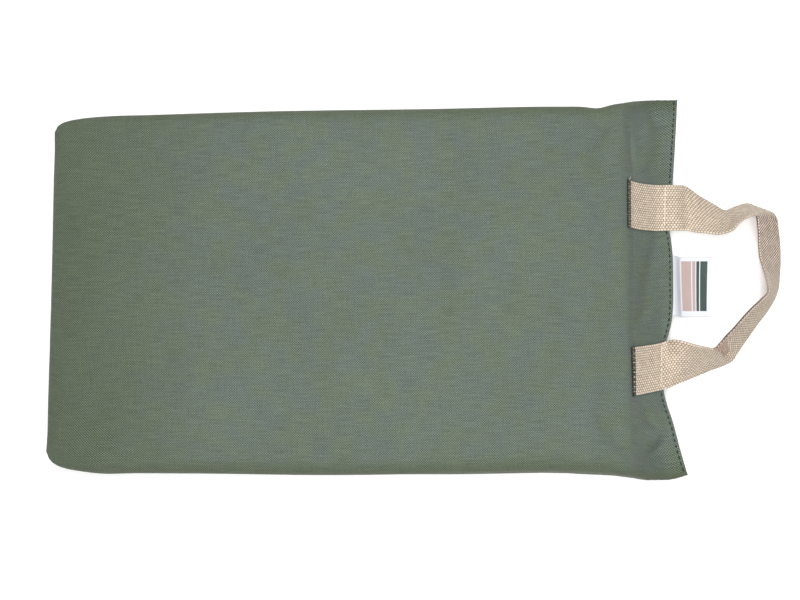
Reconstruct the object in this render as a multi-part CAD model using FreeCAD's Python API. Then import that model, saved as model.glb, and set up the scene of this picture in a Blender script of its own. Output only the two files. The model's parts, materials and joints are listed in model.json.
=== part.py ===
import FreeCAD, Part
import math
import os

# Garden kneeler pad: a foam block in a sewn cloth cover, with a webbing handle across its mouth end.
# Frame: origin at the centre of the pad's underside, +X towards the handle, +Z up, millimetres.

Vector = FreeCAD.Vector

# Pad and cover
PAD_LENGTH = 400.0
PAD_WIDTH = 250.0
PAD_HEIGHT = 40.0
CLOTH = 0.7            # thickness of one layer of cover cloth
EDGE_ROUND = 12.0      # radius along the pad's long edges
END_ROUND = 9.0        # radius round the closed end
FOAM_INSET = 1.7       # foam surface below the cover's outer surface
PAD_SEAM_Z = 18.0      # height of the side seams

# Mouth end: the two panels slope together into a flat lip
SLOPE_START_X = 193.0
SLOPE_END_X = 214.0
LIP_Z = 12.0           # the plane where the two layers of the lip meet
EAR_HALF_WIDTH = 129.5
LIP_EDGE = [           # mouth edge in plan, rear corner to front corner, drawn in at the handle tails
    (231.5, 131.0), (226.5, 71.0), (223.4, 39.0), (224.6, 21.0), (225.0, 2.0), (224.4, -18.0),
    (219.4, -39.0), (217.4, -70.0), (221.6, -90.0), (230.5, -127.0),
]

# Threads
THREAD = 0.9           # diameter of a hidden seam thread
STITCH_WIDTH = 0.5
STITCH_PROUD = 0.4     # how far a stitch stands out of the cloth on each side
MOUTH_STITCH_LENGTH = 2.6
MOUTH_STITCH_PITCH = 4.0
MOUTH_STITCH_INSET = 1.5
TAIL_STITCH_LENGTH = 2.8
TAIL_STITCH_PITCH = 3.6
TAIL_STITCH_COUNT = 8

# Webbing handle
WEB_WIDTH = 32.0
WEB = 1.6              # thickness of the webbing
GAP = 0.5              # clearance between the webbing and what it lies over
BINDING = 1.2          # length of the overlocked binding past the tail's cut end
HINGE_REAR = (222.75, 54.85)     # the line that the loop turns about, in plan
HINGE_FRONT = (216.85, -54.75)
TAIL_TOP_X = 195.5               # the tails' cut ends, high on the slope
REAR_TAIL = {"y": 39.1, "shear": 0.02}
FRONT_TAIL = {"y": -70.3, "shear": 0.17}

# The free loop from the rear tail round to the front tail. It stands on its outer edge and leans inward.
# Each station gives a point on the outer edge and a point towards the inner edge.
LOOP_STATIONS = [
    ((229.0, 70.9, 14.2), (229.0, 39.1, 14.2)),
    ((237.0, 71.0, 8.0), (238.0, 39.0, 8.0)),
    ((248.0, 65.3, 2.0), (247.0, 37.0, 16.5)),
    ((258.9, 58.9, 1.1), (257.0, 35.0, 22.0)),
    ((265.3, 55.2, 1.0), (264.0, 36.7, 27.0)),
    ((272.4, 57.6, 1.0), (268.8, 41.5, 28.0)),
    ((280.7, 59.3, 1.0), (273.8, 44.8, 28.0)),
    ((290.0, 56.0, 1.0), (278.5, 46.3, 29.0)),
    ((299.0, 51.8, 1.0), (280.3, 45.8, 26.0)),
    ((301.5, 41.0, 1.0), (280.4, 40.0, 24.8)),
    ((302.0, 27.0, 1.0), (280.6, 26.0, 24.5)),
    ((301.2, 12.0, 1.0), (281.6, 13.0, 26.2)),
    ((299.5, -1.0, 1.0), (285.6, -1.0, 29.8)),
    ((295.5, -11.0, 1.0), (284.6, -7.0, 30.3)),
    ((286.0, -25.0, 1.0), (276.0, -16.5, 30.0)),
    ((277.5, -36.5, 1.0), (266.5, -25.8, 29.0)),
    ((270.0, -46.0, 1.0), (257.0, -34.0, 28.0)),
    ((262.0, -53.0, 1.0), (248.3, -41.3, 27.5)),
    ((254.0, -56.4, 1.0), (244.5, -41.5, 27.5)),
    ((243.0, -60.0, 2.0), (239.0, -39.8, 25.0)),
    ((230.0, -64.7, 7.0), (231.5, -38.6, 21.0)),
    ((219.5, -69.3, 14.2), (222.0, -38.7, 15.0)),
]

# Label, folded over and sewn into the mouth
LABEL = 0.8
LABEL_Y = (-18.5, 21.5)
LABEL_ROUTE = [(226.1, 12.0), (232.6, 3.4), (238.5, 1.3), (254.2, 0.7)]


def prism(points, direction):
    """Solid swept straight from a flat polygon."""
    corners = [Vector(*p) for p in points]
    return Part.Face(Part.makePolygon(corners + corners[:1])).extrude(direction)


def rounded_section(x, half_width, z_low, z_high, radius):
    """Closed wire: a rectangle with rounded corners in the plane across the pad at x."""
    face = Part.makePlane(2 * half_width, z_high - z_low)
    face.Placement = FreeCAD.Placement(
        Vector(x, -half_width, z_low), FreeCAD.Rotation(Vector(1, 1, 1), 120)
    )
    block = face.extrude(Vector(10, 0, 0))
    long_edges = [e for e in block.Edges if abs(e.tangentAt(e.FirstParameter).x) > 0.99]
    rounded = block.makeFillet(radius, long_edges)
    end = min(rounded.Faces, key=lambda f: f.CenterOfMass.x)
    return end.OuterWire


def pad_form(inset, x_end):
    """The foam-filled stretch of the pad, with every surface moved in by inset."""
    start = -PAD_LENGTH / 2 + inset
    wire = rounded_section(
        start, PAD_WIDTH / 2 - inset, inset, PAD_HEIGHT - inset, EDGE_ROUND - inset
    )
    body = Part.Face(wire).extrude(Vector(x_end - start, 0, 0))
    rim = [e for e in body.Edges if e.BoundBox.XMax < start + 0.01]
    return body.makeFillet(END_ROUND - inset, rim)


def slope_form(inset, x_end, end_half_width, end_half_height):
    """The stretch where the panels run together, from the pad's full section down to a thin one."""
    wide = rounded_section(
        SLOPE_START_X, PAD_WIDTH / 2 - inset, inset, PAD_HEIGHT - inset, EDGE_ROUND - inset
    )
    thin = rounded_section(
        x_end, end_half_width, LIP_Z - end_half_height, LIP_Z + end_half_height, end_half_height * 0.6
    )
    return Part.makeLoft([wide, thin], True, True)


def mouth_curve():
    """The mouth edge in plan, as one smooth curve at z = 0."""
    curve = Part.BSplineCurve()
    curve.interpolate([Vector(x, y, 0) for x, y in LIP_EDGE])
    return curve


def lip_form():
    """The flat lip, both layers together."""
    edge = mouth_curve()
    rear = Vector(SLOPE_END_X, EAR_HALF_WIDTH, 0)
    front = Vector(SLOPE_END_X, -EAR_HALF_WIDTH, 0)
    outline = Part.Wire([
        edge.toShape(),
        Part.makeLine(Vector(*LIP_EDGE[-1], 0), front),
        Part.makeLine(front, rear),
        Part.makeLine(rear, Vector(*LIP_EDGE[0], 0)),
    ])
    lip = Part.Face(outline).extrude(Vector(0, 0, 2 * CLOTH))
    lip.translate(Vector(0, 0, LIP_Z - CLOTH))
    return lip


def above_seam():
    """Everything above the line where the top and base panels meet."""
    far = PAD_LENGTH
    profile = [
        (-far, PAD_SEAM_Z), (SLOPE_START_X, PAD_SEAM_Z), (SLOPE_END_X - CLOTH, LIP_Z),
        (far, LIP_Z), (far, 2 * PAD_HEIGHT), (-far, 2 * PAD_HEIGHT),
    ]
    return prism([(x, -far, z) for x, z in profile], Vector(0, 2 * far, 0))


def cover_panels():
    """(top panel, base panel): the cloth shell cut along the seam line."""
    outer = pad_form(0.0, SLOPE_START_X).fuse([
        slope_form(0.0, SLOPE_END_X, EAR_HALF_WIDTH, CLOTH), lip_form(),
    ])
    inner = pad_form(CLOTH, SLOPE_START_X).fuse(
        slope_form(CLOTH, SLOPE_END_X - CLOTH, EAR_HALF_WIDTH - 2 * CLOTH, 0.1)
    )
    shell = outer.cut(inner)
    upper = above_seam()
    return shell.common(upper), shell.cut(upper)


def foam_core():
    """The foam block, rounded on every edge where the cover presses it."""
    body = pad_form(FOAM_INSET, SLOPE_START_X - FOAM_INSET)
    rim = [e for e in body.Edges if e.BoundBox.XMin > SLOPE_START_X - FOAM_INSET - 0.01]
    return body.makeFillet(END_ROUND - FOAM_INSET, rim)


def thread_rod(start, end):
    """One straight run of seam thread."""
    line = end - start
    return Part.makeCylinder(THREAD / 2, line.Length, start, line)


def seam_threads():
    """Hidden threads in the side, closed-end and boxed-corner seams, between foam and cover."""
    gap_middle = (CLOTH + FOAM_INSET) / 2
    side_y = PAD_WIDTH / 2 - gap_middle
    end_x = -PAD_LENGTH / 2 + gap_middle
    clear = EDGE_ROUND + END_ROUND
    corner = END_ROUND - (END_ROUND - gap_middle) * math.sqrt(0.5)
    threads = {}
    for name, side in (("front", -1), ("rear", 1)):
        threads["side_seam_thread_" + name] = thread_rod(
            Vector(end_x + clear, side * side_y, PAD_SEAM_Z),
            Vector(SLOPE_START_X - clear, side * side_y, PAD_SEAM_Z),
        )
        at = Vector(-PAD_LENGTH / 2 + corner, side * (PAD_WIDTH / 2 - corner), 0)
        threads["corner_seam_thread_" + name] = thread_rod(
            at + Vector(0, 0, EDGE_ROUND), at + Vector(0, 0, PAD_HEIGHT - EDGE_ROUND)
        )
    threads["closed_end_seam_thread"] = thread_rod(
        Vector(end_x, -PAD_WIDTH / 2 + clear, PAD_SEAM_Z),
        Vector(end_x, PAD_WIDTH / 2 - clear, PAD_SEAM_Z),
    )
    return threads


def stitch(centre, along, length, z_low, z_high):
    """One stitch as a thin upright bar that shows on both faces of what it sews."""
    bar = Part.makeBox(length, STITCH_WIDTH, z_high - z_low)
    bar.translate(Vector(-length / 2, -STITCH_WIDTH / 2, z_low))
    bar.rotate(Vector(0, 0, 0), Vector(0, 0, 1), math.degrees(math.atan2(along.y, along.x)))
    bar.translate(Vector(centre.x, centre.y, 0))
    return bar


def under_tail(y):
    """Whether a point across the mouth lies beneath one of the handle's tails."""
    return any(-3 < y - place["y"] < WEB_WIDTH + 3 for place in (FRONT_TAIL, REAR_TAIL))


def mouth_stitching():
    """The row that shuts the mouth just inside the edge; under the tails their own rows do it."""
    edge = mouth_curve()
    count = int(edge.length() / MOUTH_STITCH_PITCH)
    stitches = []
    for i in range(count):
        place = edge.parameterAtDistance((i + 0.5) * MOUTH_STITCH_PITCH)
        if under_tail(edge.value(place).y):
            continue
        along = edge.tangent(place)[0]
        inward = Vector(along.y, -along.x, 0)
        if inward.x > 0:
            inward = -inward
        centre = edge.value(place) + inward * MOUTH_STITCH_INSET
        stitches.append(stitch(
            centre, along, MOUTH_STITCH_LENGTH,
            LIP_Z - CLOTH - STITCH_PROUD, LIP_Z + CLOTH + STITCH_PROUD,
        ))
    return Part.makeCompound(stitches)


def hinge_x(y):
    """Where the hinge line stands at y, in plan."""
    (rear_x, rear_y), (front_x, front_y) = HINGE_REAR, HINGE_FRONT
    return front_x + (rear_x - front_x) * (y - front_y) / (rear_y - front_y)


def slope_point(x, above):
    """A point above the slope's surface at x, moved straight out from it."""
    run = SLOPE_END_X - SLOPE_START_X
    drop = PAD_HEIGHT - LIP_Z - CLOTH
    size = math.hypot(run, drop)
    z = PAD_HEIGHT - (x - SLOPE_START_X) * drop / run
    return x + above * drop / size, z + above * run / size


def bend_x(above, lip_height):
    """Where a line that far above the slope comes down to a height above the lip plane."""
    x_1, z_1 = slope_point(SLOPE_START_X, above)
    x_2, z_2 = slope_point(SLOPE_END_X, above)
    return x_1 + (z_1 - lip_height) * (x_2 - x_1) / (z_1 - z_2)


def tail(place):
    """A tail of the handle: up the slope and flat on the lip, trimmed at the hinge line."""
    low = LIP_Z + CLOTH + GAP
    high = low + WEB
    end = max(hinge_x(place["y"]), hinge_x(place["y"] + WEB_WIDTH)) + 1
    profile = [
        (end, low), (bend_x(GAP, low), low), slope_point(TAIL_TOP_X, GAP),
        slope_point(TAIL_TOP_X, GAP + WEB), (bend_x(GAP + WEB, high), high), (end, high),
    ]
    reach = PAD_WIDTH
    ahead = prism([
        (hinge_x(-reach) - GAP / 2, -reach, 0), (hinge_x(reach) - GAP / 2, reach, 0),
        (SLOPE_START_X + reach, reach, 0), (SLOPE_START_X + reach, -reach, 0),
    ], Vector(0, 0, 2 * PAD_HEIGHT))
    return swept_across(profile, place).cut(ahead)


def swept_across(profile, place):
    """A side profile swept across the webbing's width, slanting in plan by the tail's shear."""
    start = hinge_x(place["y"])
    return prism(
        [(x, place["y"] + place["shear"] * (x - start), z) for x, z in profile],
        Vector(0, WEB_WIDTH, 0),
    )


def end_binding(place):
    """Overlocked thread along a tail's cut end, a little thicker than the webbing."""
    step = BINDING * (SLOPE_END_X - SLOPE_START_X) / math.hypot(
        SLOPE_END_X - SLOPE_START_X, PAD_HEIGHT - LIP_Z - CLOTH
    )
    low, high = GAP / 2, GAP + WEB + STITCH_PROUD / 2
    profile = [
        slope_point(TAIL_TOP_X, low), slope_point(TAIL_TOP_X - step, low),
        slope_point(TAIL_TOP_X - step, high), slope_point(TAIL_TOP_X, high),
    ]
    return swept_across(profile, place)


def tail_stitching(middle_y):
    """The light row across a tail, just behind the hinge line."""
    line = Vector(HINGE_REAR[0] - HINGE_FRONT[0], HINGE_REAR[1] - HINGE_FRONT[1], 0)
    line.normalize()
    behind = Vector(-line.y, line.x, 0) * 1.6
    centre = Vector(hinge_x(middle_y), middle_y, 0) + behind
    first = -(TAIL_STITCH_COUNT - 1) / 2
    stitches = [
        stitch(
            centre + line * (first + i) * TAIL_STITCH_PITCH, line, TAIL_STITCH_LENGTH,
            LIP_Z - CLOTH - STITCH_PROUD, LIP_Z + CLOTH + GAP + WEB + STITCH_PROUD,
        )
        for i in range(TAIL_STITCH_COUNT)
    ]
    return Part.makeCompound(stitches)


def hinge_station(y):
    """The loop's end at the hinge line, as (outer point, inner point), for a strip whose low y is y."""
    z = LIP_Z + CLOTH + GAP + WEB / 2
    points = [Vector(hinge_x(v) + GAP / 2, v, z) for v in (y, y + WEB_WIDTH)]
    return sorted(points, key=lambda p: -abs(p.y))


def handle_loop():
    """The free loop: thin rectangular sections, one at each station, joined by straight-ruled faces."""
    stations = [hinge_station(REAR_TAIL["y"])]
    stations += [(Vector(*outer), Vector(*inner)) for outer, inner in LOOP_STATIONS]
    stations += [hinge_station(FRONT_TAIL["y"])]
    sections = []
    for i, (outer, inner) in enumerate(stations):
        across = (inner - outer).normalize()
        if i in (0, len(stations) - 1):
            normal = Vector(0, 0, 1)
        else:
            before, after = stations[i - 1], stations[i + 1]
            travel = (after[0] + after[1] - before[0] - before[1]).normalize()
            normal = travel.cross(across).normalize()
            if normal.z < 0:
                normal = -normal
        half = normal * (WEB / 2)
        far = outer + across * WEB_WIDTH
        corners = [outer - half, far - half, far + half, outer + half]
        sections.append(Part.makePolygon(corners + corners[:1]))
    return Part.makeLoft(sections, True, True)


def label():
    """The folded label, drooping from the mouth edge to the ground."""
    normals = []
    for i in range(len(LABEL_ROUTE)):
        x_1, z_1 = LABEL_ROUTE[max(i - 1, 0)]
        x_2, z_2 = LABEL_ROUTE[min(i + 1, len(LABEL_ROUTE) - 1)]
        size = math.hypot(x_2 - x_1, z_2 - z_1)
        normals.append(((z_1 - z_2) / size, (x_2 - x_1) / size))
    half = LABEL / 2
    above = [(x + n * half, z + m * half) for (x, z), (n, m) in zip(LABEL_ROUTE, normals)]
    below = [(x - n * half, z - m * half) for (x, z), (n, m) in zip(LABEL_ROUTE, normals)]
    outline = above + below[::-1]
    low, high = LABEL_Y
    return prism([(x, low, z) for x, z in outline], Vector(0, high - low, 0))


def all_nodes():
    """Every node of the kneeler by name."""
    top, base = cover_panels()
    half_web = WEB_WIDTH / 2
    nodes = {
        "foam_core": foam_core(),
        "cover_top_panel": top,
        "cover_base_panel": base,
        "mouth_stitching": mouth_stitching(),
        "handle_loop": handle_loop(),
        "label": label(),
    }
    nodes.update(seam_threads())
    for name, place in (("front", FRONT_TAIL), ("rear", REAR_TAIL)):
        nodes["handle_tail_" + name] = tail(place)
        nodes["handle_end_binding_" + name] = end_binding(place)
        nodes["handle_stitching_" + name] = tail_stitching(place["y"] + half_web)
    return nodes


os.makedirs("parts", exist_ok=True)
for node_name, shape in all_nodes().items():
    if not shape.isValid() or shape.Volume <= 0:
        raise ValueError(node_name + " isn't a valid solid")
    shape.exportStep("parts/" + node_name + ".step")
    box = shape.BoundBox
    print(
        f"{node_name:28s} solids {len(shape.Solids):3d}  volume {shape.Volume:10.1f}  "
        f"x {box.XMin:7.1f} {box.XMax:7.1f}  y {box.YMin:7.1f} {box.YMax:7.1f}  z {box.ZMin:6.2f} {box.ZMax:6.2f}"
    )
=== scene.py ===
import json
import math
import bpy
import numpy as np
from mathutils import Matrix, Vector, noise
from mathutils.bvhtree import BVHTree
from mathutils.kdtree import KDTree

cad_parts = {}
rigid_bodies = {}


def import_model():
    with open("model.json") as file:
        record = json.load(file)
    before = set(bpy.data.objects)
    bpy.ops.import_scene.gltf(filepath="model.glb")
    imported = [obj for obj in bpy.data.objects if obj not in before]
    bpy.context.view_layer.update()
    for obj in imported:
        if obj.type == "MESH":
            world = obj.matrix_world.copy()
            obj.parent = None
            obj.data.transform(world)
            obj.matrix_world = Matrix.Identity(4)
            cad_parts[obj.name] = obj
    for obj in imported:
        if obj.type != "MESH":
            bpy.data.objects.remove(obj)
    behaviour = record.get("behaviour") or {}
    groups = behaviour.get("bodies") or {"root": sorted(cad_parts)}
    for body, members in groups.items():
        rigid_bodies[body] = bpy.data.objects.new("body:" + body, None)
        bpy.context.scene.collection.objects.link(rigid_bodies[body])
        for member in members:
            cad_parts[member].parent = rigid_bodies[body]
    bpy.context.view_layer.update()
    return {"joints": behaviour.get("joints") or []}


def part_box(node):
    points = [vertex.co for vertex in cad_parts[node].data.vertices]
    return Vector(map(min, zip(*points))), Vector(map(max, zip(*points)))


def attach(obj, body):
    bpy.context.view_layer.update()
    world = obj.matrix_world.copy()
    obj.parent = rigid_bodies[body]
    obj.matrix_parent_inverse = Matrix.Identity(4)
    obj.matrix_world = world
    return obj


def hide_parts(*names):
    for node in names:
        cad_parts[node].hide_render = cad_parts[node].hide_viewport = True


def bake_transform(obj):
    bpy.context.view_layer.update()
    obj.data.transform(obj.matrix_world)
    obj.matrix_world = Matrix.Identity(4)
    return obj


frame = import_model()

# Lengths are in millimetres, and become metres when a mesh is made.
MM = 0.001


def box_mm(node):
    """(lowest, highest) corner of a CAD node in millimetres."""
    low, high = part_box(node)
    return np.array(low) / MM, np.array(high) / MM


# Driving places, read from the frame; the cloth's closed end is drawn in a little from the block's
END_X = box_mm("cover_top_panel")[0][0] + 2.8
TOP_Z = box_mm("cover_top_panel")[1][2]
SEAM_Z = float(np.mean([c[2] for c in box_mm("side_seam_thread_rear")]))
LIP_Z = float(np.mean([c[2] for c in box_mm("mouth_stitching")]))
HINGES = {j["name"]: j for j in frame["joints"]}
SWING_POINT = np.array(HINGES["handle_swing"]["pos_m"]) / MM
SWING_AXIS = np.array(HINGES["handle_swing"]["axis"])

# Cover
CLOTH = 0.55               # thickness of the cover cloth
PAD_HALF_WIDTH = 125
LIP_HALF = 1.2             # half the thickness of the hemmed mouth edge
EDGE_RADIUS = 8.5          # where the cloth rounds the foam's edges
CORNER_RADIUS = 3.5        # the same at the boxed corners' upright seams
END_BULGE = 1.2            # how far the closed end swells
SLOPE_END_X = 214.0        # the mouth's lip starts here
SLOPE_SKEW = 0.006         # how far the slope's start leans along the pad for each step to the rear
LIP_LENGTH = 14            # from the lip's start to its edge, where the outline curves end
WALL_COLUMNS = 5           # grid columns down a side wall, and rows down the closed end
FLAT_COLUMNS = 56
COLUMNS = FLAT_COLUMNS + 2 * WALL_COLUMNS
TUBE_ROWS = 90             # grid rows from the closed end's rim to the lip
LIP_ROWS = 4
ROWS = WALL_COLUMNS + TUBE_ROWS + LIP_ROWS
FOAM_GAP = 1.2             # least distance from the cloth's outer face to the foam

# Handle webbing
WEB_WIDTH = 32.0
WEB_HALF = 0.62            # half the thickness, without the yarns' relief
YARN_RELIEF = 0.24
RIB_COUNT = 20             # lengthwise yarns across the webbing
GRAIN = 2.1                # length of one yarn's rise and fall
WEB_STEP = 0.42            # mesh spacing along the webbing
WEB_COLUMNS = 80


def curve_through(points):
    """A smooth function through a few (x, value) points; a value may be a number or a list."""
    x = np.array([p[0] for p in points], float)
    y = np.array([p[1] for p in points], float)
    slope = np.gradient(y, x, axis=0)

    def value(at):
        at = np.clip(np.asarray(at, float), x[0], x[-1])
        i = np.clip(np.searchsorted(x, at) - 1, 0, len(x) - 2)
        h = x[i + 1] - x[i]
        t = (at - x[i]) / h
        if y.ndim > 1:
            t, h = t[..., None], h[..., None]
        return (
            (1 + 2 * t) * (1 - t) ** 2 * y[i] + t * (1 - t) ** 2 * h * slope[i]
            + t * t * (3 - 2 * t) * y[i + 1] + t * t * (t - 1) * h * slope[i + 1]
        )

    return value


def smooth_step(low, high, at):
    """0 below low, 1 above high and an S between them."""
    t = np.clip((np.asarray(at, float) - low) / (high - low), 0, 1)
    return t * t * (3 - 2 * t)


def bell(distance, width):
    """1 at no distance, falling away smoothly on both sides."""
    return np.exp(-((distance / width) ** 2))


# Half widths of the cover at its seams, from the closed end to the mouth's ears
REAR_HALF = curve_through([
    (-198, 109.8), (-194, 113.8), (-188, 116.6), (-178, 118.7), (-163, 120.0), (-133, 120.8),
    (-60, 122.0), (60, 122.1), (150, 122.9), (165, 122.7), (175, 121.6), (184, 124.1), (192.4, 125.5),
    (202, 129.5), (213, 131.6), (232, 132.0),
])
FRONT_HALF = curve_through([
    (-198, 110.5), (-195, 115.2), (-190.5, 118.6), (-184.5, 120.9), (-176, 122.5), (-165, 124.0),
    (-140, 124.1), (-96, 124.5), (-10, 125.9), (85, 125.1), (145, 124.6), (160, 125.4), (184, 127.0),
    (193.5, 128.7), (203, 130.8), (212, 130.9), (221, 130.0), (231, 126.3),
])
# Heights of the top and base cloth along the pad: flat over the foam, then together into the lip
TOP_HEIGHT = curve_through([
    (-200, TOP_Z), (184, TOP_Z), (190, TOP_Z - 0.3), (193.5, TOP_Z - 1.9), (197, TOP_Z - 5.9), (203, 26.0),
    (209, 19.4), (215, 15.3), (222, LIP_Z + LIP_HALF + 0.3), (228, LIP_Z + LIP_HALF),
])
BASE_HEIGHT = curve_through([
    (-200, 0.0), (184, 0.0), (192, 0.8), (200, 3.2), (208, 6.8), (216, 9.6), (222, LIP_Z - LIP_HALF - 0.2),
    (228, LIP_Z - LIP_HALF),
])
SEAM_HEIGHT = curve_through([(-200, SEAM_Z), (180, SEAM_Z), (200, 16.0), (214, 12.4), (232, LIP_Z)])
# The mouth edge in plan, x at each y, front corner to rear corner
MOUTH_EDGE = curve_through([
    (-127, 230.8), (-110, 226.2), (-90, 221.4), (-77, 217.4), (-70, 216.2), (-54, 216.9), (-39, 218.6),
    (-32, 221.0), (-25, 223.0), (-14, 224.4), (2, 225.0), (21, 225.2), (33, 224.3), (39, 223.4),
    (55, 224.8), (71, 226.6), (103, 229.6), (131, 232.0),
])


# ---------------------------------------------------------------- meshes

def add_object(name, data):
    """A new object of the scene for a mesh, camera or lamp."""
    made = bpy.data.objects.new(name, data)
    bpy.context.scene.collection.objects.link(made)
    return made


def new_piece(name, points, faces, uv=None):
    """A mesh object from points in millimetres. uv gives one (u, v) for each corner of each face."""
    mesh = bpy.data.meshes.new(name)
    mesh.from_pydata((np.asarray(points, float) * MM).tolist(), [], [list(map(int, f)) for f in faces])
    if uv is not None:
        layer = mesh.uv_layers.new(name="cloth")
        layer.data.foreach_set("uv", np.asarray(uv, np.float32).ravel())
    mesh.polygons.foreach_set("use_smooth", [True] * len(mesh.polygons))
    mesh.update()
    return add_object(name, mesh)


def mesh_points(piece):
    """The piece's own vertices in millimetres."""
    values = np.empty(len(piece.data.vertices) * 3)
    piece.data.vertices.foreach_get("co", values)
    return values.reshape(-1, 3) / MM


def set_points(piece, points):
    """Moves the piece's vertices to points in millimetres."""
    piece.data.vertices.foreach_set("co", (np.asarray(points) * MM).astype(np.float32).ravel())
    piece.data.update()


def mesh_normals(piece):
    """The normal of each of the piece's vertices."""
    values = np.empty(len(piece.data.vertices) * 3)
    piece.data.vertex_normals.foreach_get("vector", values)
    return values.reshape(-1, 3)


def add_attribute(piece, name, values):
    """Keeps one number per vertex on the mesh for its material."""
    layer = piece.data.attributes.new(name, "FLOAT", "POINT")
    layer.data.foreach_set("value", np.asarray(values, np.float32))


def apply_modifiers(piece):
    """Makes the modifiers' result the piece's own mesh."""
    graph = bpy.context.evaluated_depsgraph_get()
    done = bpy.data.meshes.new_from_object(piece.evaluated_get(graph), depsgraph=graph)
    piece.modifiers.clear()
    piece.data = done


def unit(vectors):
    """Vectors scaled to length 1."""
    vectors = np.asarray(vectors, float)
    return vectors / np.maximum(np.linalg.norm(vectors, axis=-1, keepdims=True), 1e-9)


def distances(path):
    """How far along a path each of its points lies."""
    return np.concatenate([[0], np.cumsum(np.linalg.norm(np.diff(path, axis=0), axis=1))])


def grid_faces(rows, columns, start=0, flip=False):
    """Quads of a grid of rows x columns vertices numbered from start."""
    i, j = np.meshgrid(np.arange(rows - 1), np.arange(columns - 1), indexing="ij")
    a = (start + i * columns + j).ravel()
    quads = np.stack([a, a + columns, a + columns + 1, a + 1], 1)
    return quads[:, ::-1] if flip else quads


def tube(path, radius, sides=8, twist=0.0, closed=False):
    """(points, faces) of a thread along a path, with a two-ply ridge if twist is set, in turns per mm."""
    path = np.asarray(path, float)
    ahead = np.roll(path, -1, 0) if closed else np.vstack([path[1:], path[-1:] * 2 - path[-2:-1]])
    behind = np.roll(path, 1, 0) if closed else np.vstack([path[:1] * 2 - path[1:2], path[:-1]])
    along = unit(ahead - behind)
    normals = [unit(np.cross(along[0], (0.31, 0.23, 0.92)))]
    for direction in along[1:]:
        carried = normals[-1] - direction * float(normals[-1] @ direction)
        normals.append(unit(carried))
    normals = np.array(normals)
    others = np.cross(along, normals)
    run = distances(path)
    angles = np.linspace(0, 2 * math.pi, sides, endpoint=False)
    ply = 1 + (0.16 * np.cos(2 * (angles[None] - 2 * math.pi * twist * run[:, None])) if twist else 0)
    size = radius * ply * np.ones((len(path), sides))
    points = (
        path[:, None] + (size * np.cos(angles))[..., None] * normals[:, None]
        + (size * np.sin(angles))[..., None] * others[:, None]
    ).reshape(-1, 3)
    faces = []
    for i in range(len(path) if closed else len(path) - 1):
        for j in range(sides):
            k = (j + 1) % sides
            low, high = i * sides, (i + 1) % len(path) * sides
            faces.append([low + j, low + k, high + k, high + j])
    if not closed:
        faces.append(list(range(sides))[::-1])
        faces.append([(len(path) - 1) * sides + j for j in range(sides)])
    return points, faces


class Parts:
    """Gathers many small shapes into one piece."""

    def __init__(self):
        self.points, self.faces, self.materials, self.count = [], [], [], 0

    def add(self, shape, material=0):
        points, faces = shape
        self.points.append(points)
        self.faces += [[v + self.count for v in face] for face in faces]
        self.materials += [material] * len(faces)
        self.count += len(points)

    def piece(self, name):
        made = new_piece(name, np.vstack(self.points), self.faces)
        made.data.polygons.foreach_set("material_index", self.materials)
        return made


# ---------------------------------------------------------------- materials

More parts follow.
